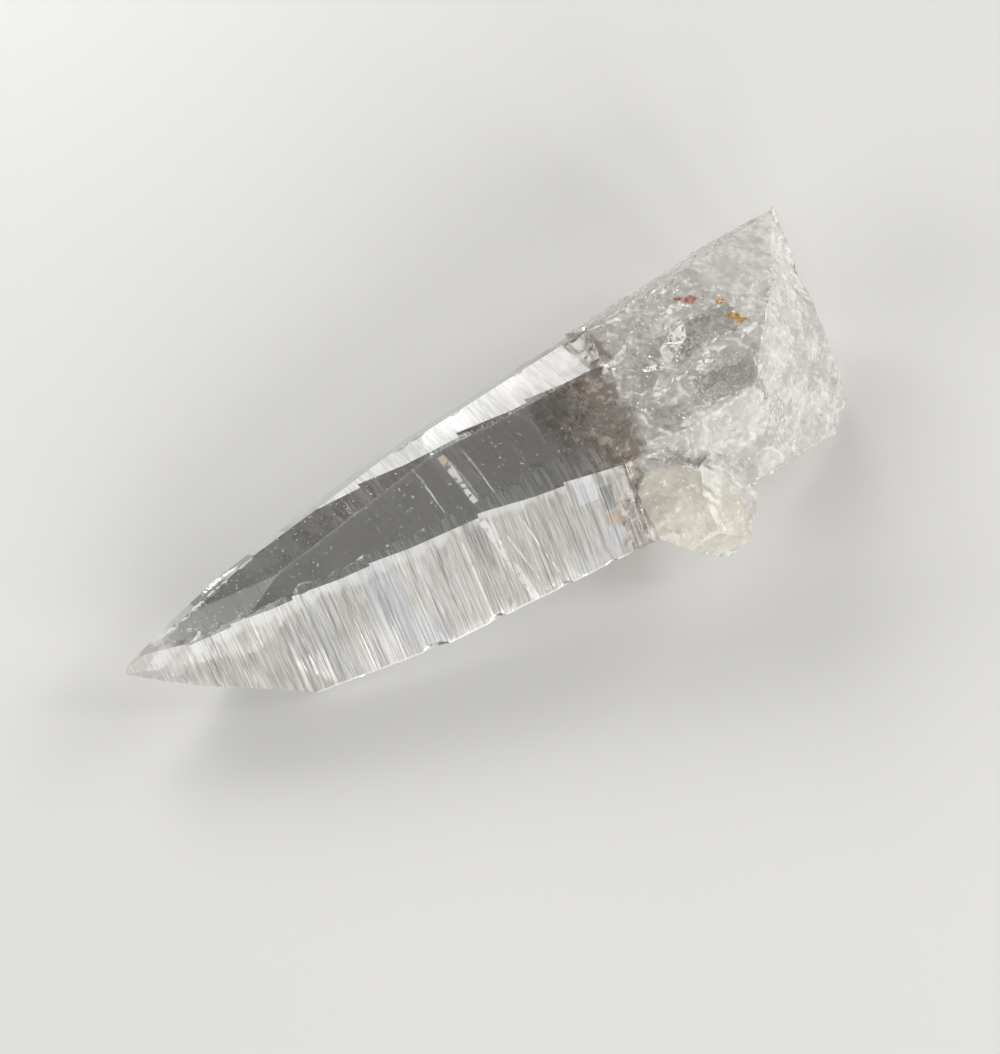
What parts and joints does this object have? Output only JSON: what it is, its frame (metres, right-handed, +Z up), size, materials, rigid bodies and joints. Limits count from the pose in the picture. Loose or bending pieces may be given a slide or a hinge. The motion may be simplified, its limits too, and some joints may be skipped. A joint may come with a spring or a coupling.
{
  "type": "crystal blade",
  "caption": "Clear tapering crystal blade with a faceted point, finely striped faces, a rough broken root and small crystals grown on the root, to lie flat as a display piece.",
  "frame": {"origin": "middle of the crystal's box, on the surface that it lies on", "axes": "+X along the crystal from its point to its broken root, +Z up from the flat that it rests on, -Y out of the silvery front face and the side crystals"},
  "size_m": [0.1012, 0.0362, 0.0225],
  "materials": {
    "clear_crystal": "clear and glossy, with fine stripes across its length and a rough broken root"
  },
  "bodies": {
    "root": {"crystal_blade": "clear_crystal"}
  },
  "joints": []
}
